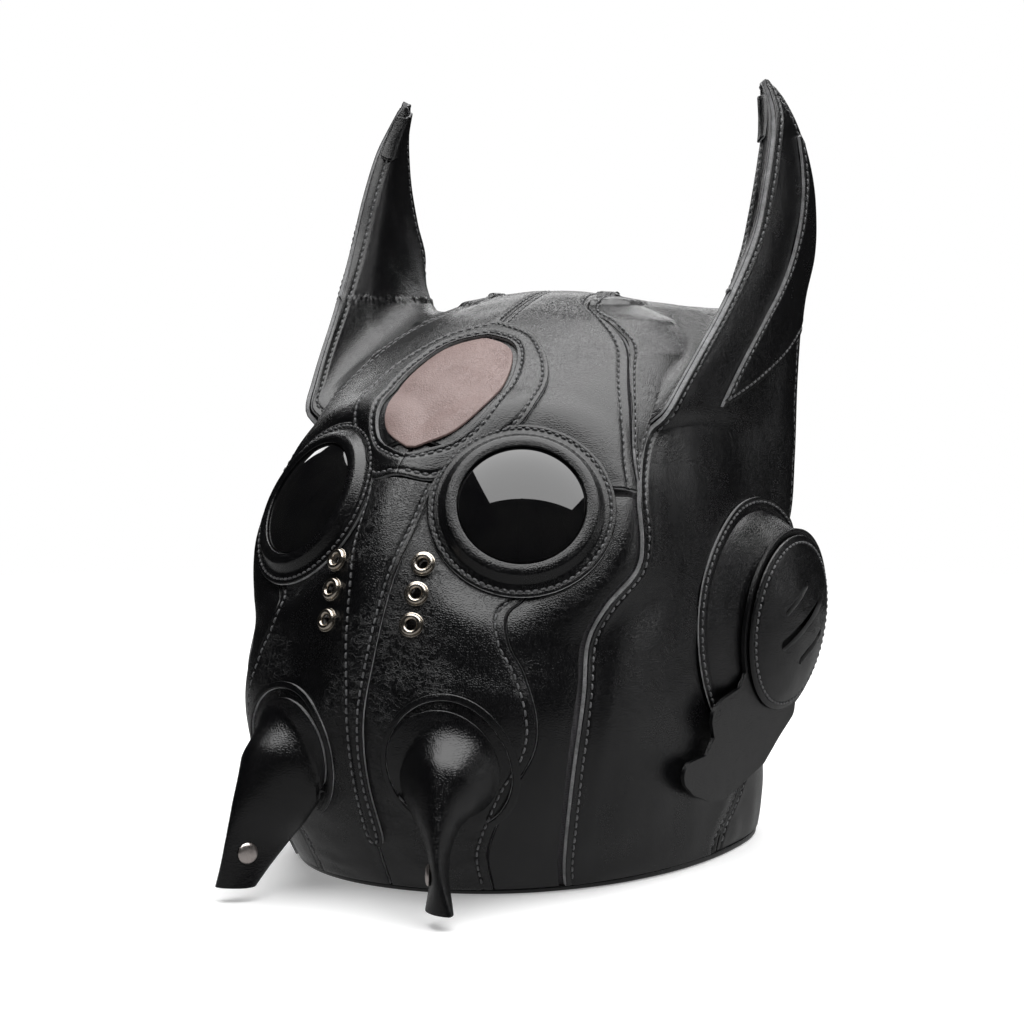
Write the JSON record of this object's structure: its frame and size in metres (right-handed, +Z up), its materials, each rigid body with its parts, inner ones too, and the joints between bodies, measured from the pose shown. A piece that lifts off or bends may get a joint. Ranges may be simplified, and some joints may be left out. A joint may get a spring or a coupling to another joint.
{
  "type": "plague doctor mask",
  "caption": "Full-head black leather masquerade mask with goggle lenses, swept horns, ear cups and twin curved mandibles.",
  "frame": {"origin": "centre of the bounding box at the rim's level", "axes": "+Z up towards the crown, -Y the way the wearer faces, +X the wearer's left"},
  "size_m": [0.2734, 0.3153, 0.3763],
  "materials": {
    "black_leather": "satin, fine grain, dressed raw edges",
    "inset_leather": "satin, creased",
    "lining_cloth": "matt woven",
    "gasket_rubber": "matt",
    "lens_glass": "polished, almost opaque",
    "eyelet_nickel": "polished nickel",
    "rivet_steel": "satin",
    "zip_cloth": "matt woven tape",
    "zip_metal": "dark nickel"
  },
  "bodies": {
    "mask": {"lining": "lining_cloth", "brow_frame": "black_leather", "nose_strip": "black_leather", "forehead_inset": "inset_leather", "neck_band": "lining_cloth", "muzzle_panel_left": "black_leather", "muzzle_panel_right": "black_leather", "cheek_panel_left": "black_leather", "cheek_panel_right": "black_leather", "crown_panel_left": "black_leather", "crown_panel_right": "black_leather", "side_panel_left": "black_leather", "side_panel_right": "black_leather", "horn_inner_panel_left": "black_leather", "horn_inner_panel_right": "black_leather", "horn_tip_patch_left": "black_leather", "horn_tip_patch_right": "black_leather", "horn_overlay_left": "black_leather", "horn_overlay_right": "black_leather", "back_panel_left": "black_leather", "back_panel_right": "black_leather", "eye_ring_left": "black_leather", "eye_ring_right": "black_leather", "lens_left": "lens_glass", "lens_right": "lens_glass", "lens_gasket_left": "gasket_rubber", "lens_gasket_right": "gasket_rubber", "mandible_left": "black_leather", "mandible_right": "black_leather", "mandible_collar_left": "black_leather", "mandible_collar_right": "black_leather", "mandible_rivet_left": "rivet_steel", "mandible_rivet_right": "rivet_steel", "ear_wall_left": "black_leather", "ear_wall_right": "black_leather", "ear_plate_left": "black_leather", "ear_plate_right": "black_leather", "ear_dome_left": "black_leather", "ear_dome_right": "black_leather", "zip_tape_left": "zip_cloth", "zip_tape_right": "zip_cloth", "zip_teeth_left": "zip_metal", "zip_teeth_right": "zip_metal", "eyelet_left_1": "eyelet_nickel", "eyelet_left_2": "eyelet_nickel", "eyelet_left_3": "eyelet_nickel", "eyelet_right_1": "eyelet_nickel", "eyelet_right_2": "eyelet_nickel", "eyelet_right_3": "eyelet_nickel", "washer_left_1": "eyelet_nickel", "washer_left_2": "eyelet_nickel", "washer_left_3": "eyelet_nickel", "washer_right_1": "eyelet_nickel", "washer_right_2": "eyelet_nickel", "washer_right_3": "eyelet_nickel"},
    "slider": {"zip_slider": "zip_metal"},
    "pull": {"zip_pull": "zip_metal"}
  },
  "joints": [
    {"name": "zip_slide", "type": "slide", "parent": "mask", "child": "slider", "axis": [0, 0, 1], "range_m": [0, 0.14]},
    {"name": "pull_hinge", "type": "hinge", "parent": "slider", "child": "pull", "pos_m": [0, 0.1564, 0.019], "axis": [1, 0, 0], "range_deg": [0, 150]}
  ]
}
